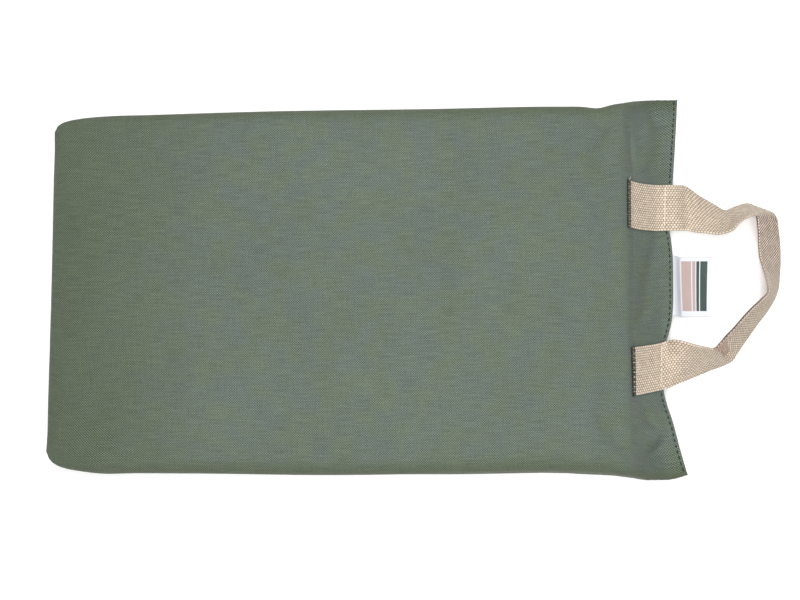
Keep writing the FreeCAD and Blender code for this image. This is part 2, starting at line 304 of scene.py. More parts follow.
class Shader:
    """One procedural material, written as short node expressions."""

    def __init__(self, name, roughness, sheen=0.0, specular=0.5):
        self.material = bpy.data.materials.new(name)
        self.material.use_nodes = True
        self.tree = self.material.node_tree
        self.surface = self.tree.nodes["Principled BSDF"]
        self.surface.inputs["Roughness"].default_value = roughness
        self.surface.inputs["Specular IOR Level"].default_value = specular
        self.surface.inputs["Sheen Weight"].default_value = sheen
        self.surface.inputs["Sheen Roughness"].default_value = 0.5

    def feed(self, socket, value):
        if isinstance(value, bpy.types.NodeSocket):
            self.tree.links.new(value, socket)
        else:
            socket.default_value = value

    def node(self, kind, inputs, **settings):
        made = self.tree.nodes.new(kind)
        for key, value in settings.items():
            setattr(made, key, value)
        for key, value in inputs.items():
            self.feed(made.inputs[key], value)
        return made

    def math(self, operation, a, b=0.0):
        return self.node("ShaderNodeMath", {0: a, 1: b}, operation=operation).outputs[0]

    def times(self, first, *others):
        """The product of several values."""
        for other in others:
            first = self.math("MULTIPLY", first, other)
        return first

    def plus(self, first, *others):
        """The sum of several values."""
        for other in others:
            first = self.math("ADD", first, other)
        return first

    def either(self, switch, a, b):
        """Value a where the switch is 1, and b where it is 0."""
        return self.plus(self.times(switch, a), self.times(self.math("SUBTRACT", 1.0, switch), b))

    def ramp(self, value, low, high, to_low=0.0, to_high=1.0):
        ranges = {"From Min": low, "From Max": high, "To Min": to_low, "To Max": to_high}
        return self.node("ShaderNodeMapRange", {"Value": value, **ranges}).outputs[0]

    def mix(self, share, low, high):
        made = self.node("ShaderNodeMix", {}, data_type="RGBA")
        for socket, value in ((0, share), (6, low), (7, high)):
            self.feed(made.inputs[socket], value)
        return made.outputs[2]

    def tint(self, colour, amount):
        """The colour made lighter or darker by an amount about 1."""
        colour = colour[:3] if isinstance(colour, tuple) else colour
        return self.node("ShaderNodeVectorMath", {0: colour, "Scale": amount}, operation="SCALE").outputs[0]

    def uv(self):
        """(u, v) in millimetres of cloth."""
        layer = self.node("ShaderNodeUVMap", {}, uv_map="cloth").outputs[0]
        parts = self.node("ShaderNodeSeparateXYZ", {0: layer}).outputs
        return parts[0], parts[1]

    def place(self):
        """Object coordinates in metres."""
        return self.node("ShaderNodeTexCoord", {}).outputs["Object"]

    def noise(self, x, y, long, wide, detail=2.0, z=0.0):
        """Noise of about 0.5 at a place in the plane, with lumps so long in x and so wide in y."""
        x, y = self.math("DIVIDE", x, long), self.math("DIVIDE", y, wide)
        where = self.node("ShaderNodeCombineXYZ", {0: x, 1: y, 2: z}).outputs[0]
        return self.node("ShaderNodeTexNoise", {"Vector": where, "Scale": 1.0, "Detail": detail}).outputs[0]

    def lumps(self, size, detail=2.0):
        """Noise over object space with lumps of a size in millimetres."""
        return self.node("ShaderNodeTexNoise", {
            "Vector": self.place(), "Scale": 1 / (size * MM), "Detail": detail,
        }).outputs[0]

    def attribute(self, name):
        return self.node("ShaderNodeAttribute", {}, attribute_name=name).outputs["Fac"]

    def finish(self, colour, height=None, depth=0.1, strength=1.0):
        """Ends the material: its colour, and a relief of a depth in millimetres."""
        self.feed(self.surface.inputs["Base Color"], colour)
        if height is not None:
            values = {"Height": height, "Strength": strength, "Distance": depth * MM}
            bump = self.node("ShaderNodeBump", values)
            self.tree.links.new(bump.outputs[0], self.surface.inputs["Normal"])
        return self.material


def cover_material():
    """Plain-woven polyester: pale warp over darker weft, each yarn changing in tone along its length."""
    pitch, reach = 0.8, 14.0        # spacing of the yarns, and how far one keeps its tone
    s = Shader("cover_weave", 0.86, sheen=0.1, specular=0.25)
    u, v = s.uv()
    warp_wave = s.math("SINE", s.times(v, math.pi / pitch))
    weft_wave = s.math("SINE", s.times(u, math.pi / pitch))
    warp_on_top = s.math("GREATER_THAN", s.times(warp_wave, weft_wave), 0.0)
    warp, weft = s.math("ABSOLUTE", warp_wave), s.math("ABSOLUTE", weft_wave)
    height = s.either(warp_on_top, warp, weft)
    warp_tone = s.noise(u, v, reach, pitch, 1.0)
    weft_tone = s.noise(u, v, pitch, reach, 1.0, z=7.0)
    yarn_tone = s.either(warp_on_top, warp_tone, weft_tone)
    fleck = s.noise(u, v, 0.55, 0.55, 3.0, z=3.0)
    # Painted shade: cover_painted_shade darkens the cloth and turns it olive at the side walls and towards
    # the closed end.
    cover_painted_shade = s.attribute("cover_painted_shade")
    light = s.times(
        s.plus(s.ramp(yarn_tone, 0.3, 0.7, 0.82, 1.18), s.ramp(fleck, 0.3, 0.7, -0.30, 0.30)),
        s.ramp(s.times(warp, weft), 0.0, 0.5, 0.62, 1.06),
        s.ramp(warp_on_top, 0.0, 1.0, 0.52, 1.48),
        s.ramp(s.lumps(55, 3.0), 0.35, 0.65, 0.97, 1.03),
        s.ramp(s.attribute("wear"), 0.0, 1.0, 1.0, 1.13),
        # painted shade: down to 0.76 of the brightness at the sides and towards the closed end
        s.ramp(cover_painted_shade, 0.0, 1.0, 1.0, 0.76),
    )
    hue = s.mix(s.ramp(s.lumps(16), 0.38, 0.62), (0.112, 0.141, 0.102, 1), (0.109, 0.137, 0.117, 1))
    # painted shade: the shaded sides and end turn a more olive green
    hue = s.mix(cover_painted_shade, hue, (0.112, 0.139, 0.086, 1))
    return s.finish(s.tint(hue, light), height, 0.14, 0.7)


def webbing_material():
    """Beige webbing: pale yarn crests over darker gaps, with painted shade, darker and redder, past the
    crease of a folded stretch and below the rear corner's ridge.
    """
    s = Shader("handle_webbing", 0.8, sheen=0.1, specular=0.25)
    u, v = s.uv()
    relief, web_painted_shade = s.attribute("relief"), s.attribute("web_painted_shade")
    clean = s.mix(s.ramp(relief, 0.04, 0.60), (0.215, 0.152, 0.115, 1), (0.665, 0.575, 0.458, 1))
    # Painted shade colours: darker, redder webbing, deepest past 1.0, where it folds or turns away from the
    # light.
    painted_shade_colour = s.mix(s.ramp(relief, 0.29, 0.60), (0.050, 0.020, 0.014, 1), (0.91, 0.74, 0.615, 1))
    deep_painted_shade_colour = s.mix(s.ramp(relief, 0.24, 0.60), (0.085, 0.040, 0.030, 1), (0.775, 0.580, 0.440, 1))
    body = s.mix(s.ramp(web_painted_shade, 1.0, 1.15), s.mix(web_painted_shade, clean, painted_shade_colour), deep_painted_shade_colour)
    fibre = s.noise(u, v, 1.4, 0.16)
    patch = s.noise(u, v, 9.0, 5.0, z=2.0)
    rib = s.noise(u, v, 60.0, WEB_WIDTH / RIB_COUNT, 1.0, z=5.0)
    speck = s.noise(u, v, 2.6, 1.9, 1.0, z=9.0)
    light = s.plus(
        s.ramp(fibre, 0.3, 0.7, 0.93, 1.07), s.ramp(patch, 0.35, 0.65, -0.03, 0.03),
        s.ramp(rib, 0.3, 0.7, -0.035, 0.035), s.ramp(speck, 0.3, 0.7, -0.10, 0.10),
    )
    return s.finish(s.tint(body, light), fibre, 0.05, 0.6)


def thread_material(name, colour, roughness):
    """Twisted sewing thread, with fine uneven fibres."""
    s = Shader(name, roughness)
    fibres = s.lumps(0.25)
    light = s.times(s.ramp(fibres, 0.3, 0.7, 0.72, 1.2), s.ramp(s.lumps(2.5, 1.0), 0.3, 0.7, 0.92, 1.08))
    return s.finish(s.tint(colour, light), fibres, 0.04, 0.7)


def label_material():
    """Woven satin ribbon, white with plain coloured bands across it, and a fine rib."""
    s = Shader("label_satin_ribbon", 0.42, sheen=0.05, specular=0.4)
    u, v = s.uv()
    rib = s.math("ABSOLUTE", s.math("SINE", s.times(v, math.pi / 0.32)))
    cross = s.math("ABSOLUTE", s.math("SINE", s.times(u, math.pi / 0.55)))
    weave = s.times(s.ramp(rib, 0, 1, 0.7, 1.0), s.ramp(cross, 0, 1, 0.85, 1.0))
    cloth = s.noise(u, v, 1.5, 0.4)
    colour = (0.65, 0.67, 0.735, 1)
    paints = {"pink": (0.42, 0.32, 0.30, 1), "green": (0.032, 0.060, 0.047, 1)}
    for low, high, paint in BANDS:
        limits = (u, low), (v, BAND_V[0])
        inside = s.times(*(s.math("GREATER_THAN", at, limit) for at, limit in limits))
        limits = (u, high), (v, BAND_V[1])
        inside = s.times(inside, *(s.math("LESS_THAN", at, limit) for at, limit in limits))
        colour = s.mix(inside, colour, paints[paint])
    light = s.times(s.ramp(weave, 0.6, 1.0, 0.9, 1.02), s.ramp(cloth, 0.3, 0.7, 0.97, 1.03))
    return s.finish(s.tint(colour, light), weave, 0.04, 0.5)


def foam_material():
    """Open-cell foam, with pores and a slightly yellowed skin."""
    s = Shader("foam_cells", 0.9, specular=0.2)
    cells = s.node("ShaderNodeTexVoronoi", {"Vector": s.place(), "Scale": 900.0}).outputs["Distance"]
    light = s.times(s.ramp(s.lumps(30, 3.0), 0.35, 0.65, 0.93, 1.05), s.ramp(cells, 0.1, 0.6, 0.72, 1.05))
    return s.finish(s.tint((0.72, 0.68, 0.56, 1), light), cells, 0.4, 0.8)


def floor_material():
    """White paper on a light table, almost even."""
    s = Shader("white_paper", 0.95, specular=0.1)
    s.surface.inputs["Emission Color"].default_value = (1.0, 1.0, 1.0, 1)
    s.surface.inputs["Emission Strength"].default_value = 0.2
    return s.finish(s.tint((0.93, 0.93, 0.93, 1), s.ramp(s.lumps(400, 1.0), 0.3, 0.7, 0.995, 1.005)))


# ---------------------------------------------------------------- cover

def wall(share, height, radius):
    """(inset, rise) at a share of the way up a side wall and round its edge."""
    radius = min(radius, 0.9 * height)
    straight = height - radius
    run = share * (straight + radius * math.pi / 2)
    if run <= straight:
        return 0.0, run
    turn = (run - straight) / radius
    return radius * (1 - math.cos(turn)), straight + radius * math.sin(turn)


def two_walls(share, height):
    """(inset, rise) of the round edge, then of the tighter edge beside a boxed corner."""
    return wall(share, height, EDGE_RADIUS) + wall(share, height - 1.2, CORNER_RADIUS)


def between_walls(j, x, inset):
    """y of column j on the stretch from the rear side wall to the front one."""
    rear, front = float(REAR_HALF(x)) - inset, inset - float(FRONT_HALF(x))
    return rear + (front - rear) * (j - WALL_COLUMNS) / FLAT_COLUMNS


def bumps(x, y, size, seed):
    """Smooth noise from -1 to 1 with lumps of a size in millimetres."""
    return noise.noise(Vector((x / size, y / size, seed)))


def lip_wave(x, y):
    """How far the free lip and the ears stand above or below their plane."""
    free = float(smooth_step(198, 222, x))
    ears = float(smooth_step(85, 128, abs(y)))
    wave = 1.0 * bumps(x, y, 34, 1.7) + 2.0 * ears * bumps(x, y, 24, 5.1)
    return free * (wave - 1.5 * ears * ears)


# Soft hollows and swellings of the cloth over the slope: middle, direction, half length, half width, height
HOLLOWS = [
    ((204, -88), (0.6, -0.8), 11, 3.8, -3.6),
    ((210, -112), (0.85, 0.53), 10, 4.8, -5.5),
    ((210, -100), (0.85, 0.53), 8, 5.0, 2.0),
    ((209, -123), (0.9, 0.4), 8, 4.5, 2.0),
    ((196, 93), (0.12, -1.0), 17, 3.4, -4.2),
    ((211, 99), (0.3, 1.0), 13, 6.0, 2.8),
    ((216, 119), (0.8, -0.6), 9, 4.5, -2.4),
    ((208, 8), (0.25, 1.0), 26, 4.5, -2.2),
    ((203, -20), (0.6, 0.8), 12, 4.0, -1.7),
]


def slope_folds(x, y):
    """How far the top cloth stands off its even slope down to the lip."""
    free = smooth_step(188, 198, x) * (1 - smooth_step(212, 225, x))
    total = np.zeros(np.shape(x))
    for (mid_x, mid_y), direction, length, width, height in HOLLOWS:
        ahead = unit(direction)
        along = (x - mid_x) * ahead[0] + (y - mid_y) * ahead[1]
        across = (y - mid_y) * ahead[0] - (x - mid_x) * ahead[1]
        total += height * bell(along, length) * bell(across, width)
    line = 195.6 + SLOPE_SKEW * y + 0.8 * np.sin(y / 37) + 0.4 * np.sin(y / 11)
    pressed = 0.35 * bell(x - line + 4.2, 2.2) - 0.75 * bell(x - line, 1.9)
    return free * total + pressed * (1 - smooth_step(116, 124, abs(y)))


def row_places():
    """x of each grid row past the closed end's rim, over the foam and along the side walls."""
    over = np.linspace(END_X + EDGE_RADIUS, SLOPE_END_X, TUBE_ROWS + 1)
    share = np.arange(TUBE_ROWS + 1) / 14.0
    walls = over - EDGE_RADIUS * (1 - smooth_step(0, 1, share))
    return over, walls


def panel_point(i, j, top, over, walls):
    """Place of row i, column j of the top or base panel's grid."""
    up = 1 if top else -1
    reach = TOP_HEIGHT if top else BASE_HEIGHT
    rear = j <= COLUMNS // 2
    from_side, half, side = (j, REAR_HALF, 1) if rear else (COLUMNS - j, FRONT_HALF, -1)
    near_corner = 1 - float(smooth_step(0, 7, from_side - WALL_COLUMNS))
    if i < WALL_COLUMNS:
        return cap_point(i, j, up, reach, near_corner)
    k = i - WALL_COLUMNS
    if k <= TUBE_ROWS:
        x = float(over[k] + (walls[k] - over[k]) * near_corner)
        mouth = 0.0
    else:
        x, mouth = SLOPE_END_X, (k - TUBE_ROWS) / LIP_ROWS
    outline_x = x + LIP_LENGTH * mouth
    seam = float(SEAM_HEIGHT(outline_x))
    skew = SLOPE_SKEW * PAD_HALF_WIDTH * (1 - 2 * j / COLUMNS)
    height = abs(float(reach(outline_x + 1.0 - skew)) - seam)
    corner = 1 - float(smooth_step(0, 6, k))
    inset, rise, corner_inset, corner_rise = two_walls(min(from_side / WALL_COLUMNS, 1.0), height)
    inset += (corner_inset - inset) * corner
    rise += (corner_rise - rise) * corner * near_corner
    x += corner_inset * corner * near_corner
    outline_x = x + LIP_LENGTH * mouth
    if from_side <= WALL_COLUMNS:
        y = side * (float(half(outline_x)) - inset)
    else:
        y = between_walls(j, outline_x, inset)
    if mouth:
        x += mouth * (float(MOUTH_EDGE(y)) - SLOPE_END_X)
    z = seam + up * rise + lip_wave(x, y)
    return x, y, z


def cap_point(i, j, up, reach, near_corner):
    """Place of row i, column j on the closed end, whose rows climb from the seam to the rim."""
    share = i / WALL_COLUMNS
    height = abs(float(reach(END_X)) - SEAM_Z)
    inset, rise, corner_inset, corner_rise = two_walls(share, height)
    x = END_X + inset + (corner_inset - inset) * near_corner
    rise += (corner_rise - rise) * near_corner
    bulge = END_BULGE * (1 - (2 * (j - WALL_COLUMNS) / FLAT_COLUMNS - 1) ** 4)
    y = between_walls(j, END_X, corner_inset)
    return x - bulge * (1 - share * share), y, SEAM_Z + up * rise


class CoverGrid:
    """Both panels on one shared set of vertices: cloth rows run along the pad and columns across it.

    The closed end's rows lack the corner squares, as the cut cloth does: their two edges are sewn into the
    boxed corner's upright seam, so they share vertices."""

    def __init__(self):
        self.points, self.ids = [], {}
        over, walls = row_places()
        for top in (True, False):
            for i in range(ROWS + 1):
                for j in range(COLUMNS + 1):
                    if self.in_notch(i, j):
                        continue
                    key = self.key(top, i, j)
                    if key not in self.ids:
                        self.ids[key] = len(self.points)
                        self.points.append(panel_point(key[1], key[2], top, over, walls))
        self.points = np.array(self.points)

    @staticmethod
    def in_notch(i, j):
        return i < WALL_COLUMNS and not WALL_COLUMNS <= j <= COLUMNS - WALL_COLUMNS

    @staticmethod
    def key(top, i, j):
        """The one name of a vertex that two edges of the cloth share."""
        if i < WALL_COLUMNS and j in (WALL_COLUMNS, COLUMNS - WALL_COLUMNS):
            i, j = WALL_COLUMNS, (i if j == WALL_COLUMNS else COLUMNS - i)
        seam = j in (0, COLUMNS) or i == 0
        return ("seam" if seam else top, i, j)

    def panel(self, top):
        """(faces, uv) of one panel, by shared vertex."""
        along, across = self.cloth_lengths(top)
        faces, uv = [], []
        for i in range(ROWS):
            for j in range(COLUMNS):
                if i < WALL_COLUMNS and not WALL_COLUMNS <= j < COLUMNS - WALL_COLUMNS:
                    continue
                corners = [(i, j), (i + 1, j), (i + 1, j + 1), (i, j + 1)]
                if top:
                    corners.reverse()
                faces.append([self.ids[self.key(top, a, b)] for a, b in corners])
                uv += [(along[a], across[b]) for a, b in corners]
        return faces, uv

    def cloth_lengths(self, top):
        """Distance along the middle column and across the middle row, which the weave follows."""
        middle, row = COLUMNS // 2, ROWS // 2
        along = self.points[[self.ids[self.key(top, i, middle)] for i in range(ROWS + 1)]]
        across = self.points[[self.ids[self.key(top, row, j)] for j in range(COLUMNS + 1)]]
        return distances(along), distances(across)

    def line(self, top, places):
        """Points of named grid places."""
        return self.points[[self.ids[self.key(top, i, j)] for i, j in places]]


# The cloth's swelling: the lightly inflated cover's settings, its frames, the most it may move, and how far
# inside its shape it starts at the closed end, the sides and the top
PRESSURE = {
    "use_pressure": True, "uniform_pressure_force": 4.0, "vertex_group_mass": "pins",
    "tension_stiffness": 25, "compression_stiffness": 25, "bending_stiffness": 2.0,
}
SWELL_FRAMES = 20
MOST_ABOVE, MOST_BELOW = 2.6, 2.2
DRAWN_IN = (0.8, 1.0, 1.3)


def swell(grid):
    """Lets the cover take up its shape over the foam as cloth under slight pressure, within limits."""
    rest = grid.points.copy()
    faces = grid.panel(True)[0] + grid.panel(False)[0]
    for j in range(COLUMNS):
        corners = (True, j), (True, j + 1), (False, j + 1), (False, j)
        ends = [grid.ids[grid.key(top, ROWS, column)] for top, column in corners]
        faces.append(list(dict.fromkeys(ends)))
    over_foam = 1 - smooth_step(196, 212, rest[:, 0])
    start = rest.copy()
    start[:, 2] -= over_foam * DRAWN_IN[2] * smooth_step(30, 40, rest[:, 2])
    start[:, 1] -= over_foam * DRAWN_IN[1] * np.sign(rest[:, 1]) * smooth_step(110, 122, abs(rest[:, 1]))
    start[:, 0] += DRAWN_IN[0] * (1 - smooth_step(END_X, END_X + 8, rest[:, 0]))
    body = new_piece("cover_under_pressure", start, faces)
    pins = body.vertex_groups.new(name="pins")
    for index, place in enumerate(rest):
        held = float(smooth_step(203, 216, place[0]))
        pins.add([index], max(held, 0.35 if place[2] < 1.0 else 0.0), "REPLACE")
    cloth = body.modifiers.new("Cloth", "CLOTH")
    for setting, value in PRESSURE.items():
        setattr(cloth.settings, setting, value)
    cloth.settings.effector_weights.gravity = 0.0
    cloth.point_cache.frame_end = SWELL_FRAMES
    for number in range(1, SWELL_FRAMES + 1):
        bpy.context.scene.frame_set(number)
    graph = bpy.context.evaluated_depsgraph_get()
    swollen = mesh_points(body.evaluated_get(graph))
    bpy.data.objects.remove(body)
    bpy.context.scene.frame_set(1)
    moved = swollen - start
    size = np.linalg.norm(moved, axis=1, keepdims=True)
    cap = np.where(rest[:, 2:3] > SEAM_Z + 6, MOST_ABOVE, MOST_BELOW)
    moved *= cap * np.tanh(size / cap) / np.maximum(size, 1e-6)
    moved[:, 2] *= 1 - (1 - smooth_step(0.5, 7, rest[:, 2])) * over_foam
    side = np.sign(rest[:, 1]) * smooth_step(90, 118, abs(rest[:, 1]))
    end = -1 + smooth_step(END_X + 2, END_X + 22, rest[:, 0])
    for axis, outward in ((0, end), (1, side)):
        inward = np.clip(moved[:, axis] * outward, None, 0) * np.sign(outward)
        moved[:, axis] -= 0.93 * inward
    grid.points = rest + moved
    grid.points[:, 2] = np.maximum(start[:, 2] + moved[:, 2], 0.05)


def pucker(points, normals, seam, reach=9.0):
    """Draws the cloth in at a seam and gathers it in small uneven ripples beside it."""
    tree = KDTree(len(seam))
    for index, place in enumerate(seam):
        tree.insert(place, index)
    tree.balance()
    for index, place in enumerate(points):
        distance = tree.find(place)[2]
        if distance > reach:
            continue
        near = 1 - distance / reach
        run = place[0] + place[1] * 0.9
        ripple = noise.noise(Vector((run / 5.5, 4.4, place[2] / 30))) + 0.5 * math.sin(run * 1.25)
        groove = 0.85 * bell(distance, 1.6) * (1 - float(smooth_step(204, 220, place[0])))
        gather = 0.30 * near * near * ripple * (1 - math.exp(-distance))
        points[index] = place - normals[index] * (groove - gather)


# The mouth's hem: its reach past the edge and its height from the middle at each line of its profile, then
# where it lies in the cloth's weave and how wide a column is there
HEM_LINES = ((0.9, LIP_HALF - 0.55), (0.75, 0.35), (-0.6, 0.12), (-7.0, 0.12))
HEM_PLACE, HEM_COLUMN = 470.0, 4.5


def hem(points, faces, uv, edge, up):
    """Turns the mouth edge under: a small round nose, then a strip that runs back inside."""
    count = len(edge)
    previous, extra, middle, depth = edge, [], points[edge], HEM_PLACE
    for number, (reach, height) in enumerate(HEM_LINES):
        line = middle * (1, 1 - 0.0035 * number, 1)
        line[:, 0] += reach
        line[:, 2] = [LIP_Z + up * height + lip_wave(x, y) for x, y in line[:, :2]]
        first = len(points) + number * count
        current = list(range(first, first + count))
        extra.append(line)
        width = 1.0 if number < 3 else 7.0
        for j in range(count - 1):
            quad = [previous[j], current[j], current[j + 1], previous[j + 1]]
            left, right = j * HEM_COLUMN, (j + 1) * HEM_COLUMN
            flat = [(depth, left), (depth + width, left), (depth + width, right), (depth, right)]
            faces.append(quad[::-1] if up > 0 else quad)
            uv += flat[::-1] if up > 0 else flat
        previous = current
        depth += width
    return np.vstack([points] + extra)


def panel_piece(grid, top, seam):
    """One cover panel as a closed piece of cloth with its hem and seam grooves; its thickness is added later.
    """
    faces, uv = grid.panel(top)
    edge = [grid.ids[grid.key(top, ROWS, j)] for j in range(COLUMNS + 1)]
    points = hem(grid.points, faces, uv, edge, 1 if top else -1)
    used = sorted({v for face in faces for v in face})
    renumber = {v: n for n, v in enumerate(used)}
    faces = [[renumber[v] for v in face] for face in faces]
    piece = new_piece("cover_top_cloth" if top else "cover_base_cloth", points[used], faces, uv)
    divide = piece.modifiers.new("Subdivide", "SUBSURF")
    divide.levels = divide.render_levels = 2
    divide.boundary_smooth = "PRESERVE_CORNERS"
    apply_modifiers(piece)
    dense = mesh_points(piece)
    pucker(dense, mesh_normals(piece), seam)
    if top:
        outside = mesh_normals(piece)[:, 2] > 0.1
        dense[:, 2] += outside * slope_folds(dense[:, 0], dense[:, 1])
    dense[:, 2] = np.maximum(dense[:, 2], 0.02)
    set_points(piece, dense)
    add_wear_and_painted_shade(piece, dense)
    return piece


def add_wear_and_painted_shade(piece, points):
    """Rubbed, slightly paler cloth along the foam's edges and the mouth, and painted shade, darker and more
    olive, at the sides and towards the closed end.
    """
    x, y, z = points.T
    edge = bell(z - 35.0, 4.5) * ((abs(y) > 112) * 1.0 + (x < END_X + 8))
    mouth = smooth_step(-2.2, 0.2, x - MOUTH_EDGE(y))
    rub = np.array([0.5 + 0.5 * bumps(*place, 7, 2.2) for place in points[:, :2]])
    add_attribute(piece, "wear", np.clip(0.5 * edge * rub + 0.8 * mouth, 0, 1))
    # Painted shade: darker within 13 mm of the side seams, and fading in over 130 mm towards the closed end.
    side = np.minimum(REAR_HALF(x) - y, FRONT_HALF(x) + y)
    end_painted_shade = 0.75 * (1 - smooth_step(0, 130, x - END_X))
    add_attribute(piece, "cover_painted_shade", np.maximum(1 - smooth_step(0, 13, side), end_painted_shade))


def thicken(piece, thickness, offset=-1.0):
    """Gives cloth its thickness, on the inner side for an offset of -1 and on both for 0."""
    solid = piece.modifiers.new("Thickness", "SOLIDIFY")
    solid.thickness = thickness * MM
    solid.offset = offset
    apply_modifiers(piece)


def seam_lines(grid):
    """The seams as point lists: both sides, the closed end and the two upright corners."""
    tube_rows = range(WALL_COLUMNS, ROWS + 1)
    flat = range(WALL_COLUMNS, COLUMNS - WALL_COLUMNS + 1)
    up_rear = [(WALL_COLUMNS, j) for j in range(WALL_COLUMNS + 1)]
    up_front = [(WALL_COLUMNS, COLUMNS - j) for j in range(WALL_COLUMNS + 1)]
    return {
        "side_rear": grid.line(True, [(i, 0) for i in tube_rows]),
        "side_front": grid.line(True, [(i, COLUMNS) for i in tube_rows]),
        "closed_end": grid.line(True, [(0, j) for j in flat]),
        "corner_rear": np.vstack([grid.line(False, up_rear)[::-1], grid.line(True, up_rear)[1:]]),
        "corner_front": np.vstack([grid.line(False, up_front)[::-1], grid.line(True, up_front)[1:]]),
    }


def even_points(line, step):
    """Points a step apart along a polyline."""
    run = distances(line)
    places = np.arange(0, run[-1] + step / 2, step)
    return np.stack([np.interp(places, run, line[:, axis]) for axis in range(3)], 1)


def make_cover():
    """The cover's two panels and the seam lines that they meet on."""
    grid = CoverGrid()
    swell(grid)
    lines = seam_lines(grid)
    seam = np.vstack([even_points(line, 1.5) for line in lines.values()])
    top, base = panel_piece(grid, True, seam), panel_piece(grid, False, seam)
    return top, base, lines


def surface_tree(*pieces):
    """A search tree of the pieces' surfaces, in millimetres."""
    points, faces = [], []
    for piece in pieces:
        faces += [tuple(v + len(points) for v in face.vertices) for face in piece.data.polygons]
        points += [Vector(p) for p in mesh_points(piece)]
    return BVHTree.FromPolygons(points, faces)


def drop_onto(tree, x, y, up=1):
    """(place, outward normal) on a surface straight below a point, or straight above one if up is -1."""
    hit, normal, _, _ = tree.ray_cast(Vector((x, y, up * 200.0)), Vector((0, 0, -up)))
    if hit is None:
        return None
    if normal.z * up < 0:
        normal = -normal
    return np.array(hit), np.array(normal)


# ---------------------------------------------------------------- foam and hidden threads

FOAM_TRIM = ((1.6, 2.4, 0.6), (1.4, 2.4, 1.4))    # what the cut block lacks of its CAD box, at each corner
FOAM_ROUND = 6.0


def make_foam(cover):
    """The foam block inside: square cut with soft edges, pressed in where the cover is narrower."""
    low, high = box_mm("foam_core")
    low, high = low + FOAM_TRIM[0], high - FOAM_TRIM[1]
    centre, half = (low + high) / 2, (high - low) / 2
    steps = np.array([64, 40, 8])
    points, faces = [], []
    for axis in range(3):
        others = [a for a in range(3) if a != axis]
        for side in (-1, 1):
            start = len(points)
            rows, columns = steps[others]
            for i in range(rows + 1):
                for j in range(columns + 1):
                    p = np.zeros(3)
                    p[axis], p[others[0]], p[others[1]] = side, 2 * i / rows - 1, 2 * j / columns - 1
                    points.append(round_box(p, centre, half, FOAM_ROUND))
            faces += grid_faces(rows + 1, columns + 1, start, flip=(side > 0) == (axis != 1)).tolist()
    piece = new_piece("foam_block", np.array(points), faces)
    weld = piece.modifiers.new("Weld", "WELD")
    weld.merge_threshold = 0.05 * MM
    apply_modifiers(piece)
    points = mesh_points(piece)
    for index, place in enumerate(points):
        nearest, normal, _, _ = cover.find_nearest(Vector(place))
        room = (nearest - Vector(place)).dot(normal)
        if room < FOAM_GAP:
            points[index] = nearest - normal * FOAM_GAP
    set_points(piece, points)
    return piece


def round_box(direction, centre, half, radius):
    """A point of a rounded box for a point on the cube from -1 to 1, with the cut faces' unevenness."""
    place = direction * half
    core = np.clip(place, -(half - radius), half - radius)
    away = place - core
    length = np.linalg.norm(away)
    if length > 1e-9:
        place = core + away / length * radius
    rough = 0.35 * noise.noise(Vector(place / 9.0)) + 0.2 * noise.noise(Vector(place / 2.5))
    return centre + place + unit(away) * rough


SEAM_STEP, SEAM_STITCH = 0.7, 2.8    # mesh spacing and stitch length of the seams inside


def seam_thread(name, line, inward):
    """A lockstitch seam's thread, weaving in and out just inside the cover."""
    path = even_points(line, SEAM_STEP) + inward
    run = np.arange(len(path)) * SEAM_STEP
    sway = np.sin(run * 2 * math.pi / SEAM_STITCH)
    towards = unit(np.asarray(inward, float))
    return new_piece(name, *tube(path + sway[:, None] * towards * 0.25, 0.3, 6, twist=0.5))


# Each hidden seam: how far its thread lies inside the seam line, and its CAD node
SEAMS = {
    "side_rear": ((0, -2.0, 0), "side_seam_thread_rear"),
    "side_front": ((0, 2.0, 0), "side_seam_thread_front"),
    "closed_end": ((2.0, 0, 0), "closed_end_seam_thread"),
    "corner_rear": ((1.7, -1.7, 0), "corner_seam_thread_rear"),
    "corner_front": ((1.7, 1.7, 0), "corner_seam_thread_front"),
}


def make_seam_threads(lines):
    """The five hidden seams, each where its line runs under the cloth."""
    made = []
    for key, line in lines.items():
        if key.startswith("side"):
            line = line[line[:, 0] < 190]
        if key.startswith("corner"):
            line = line[3:-3]
        inward, node = SEAMS[key]
        piece = seam_thread(key + "_seam_stitches", line, inward)
        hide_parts(node)
        made.append(piece)
    return made
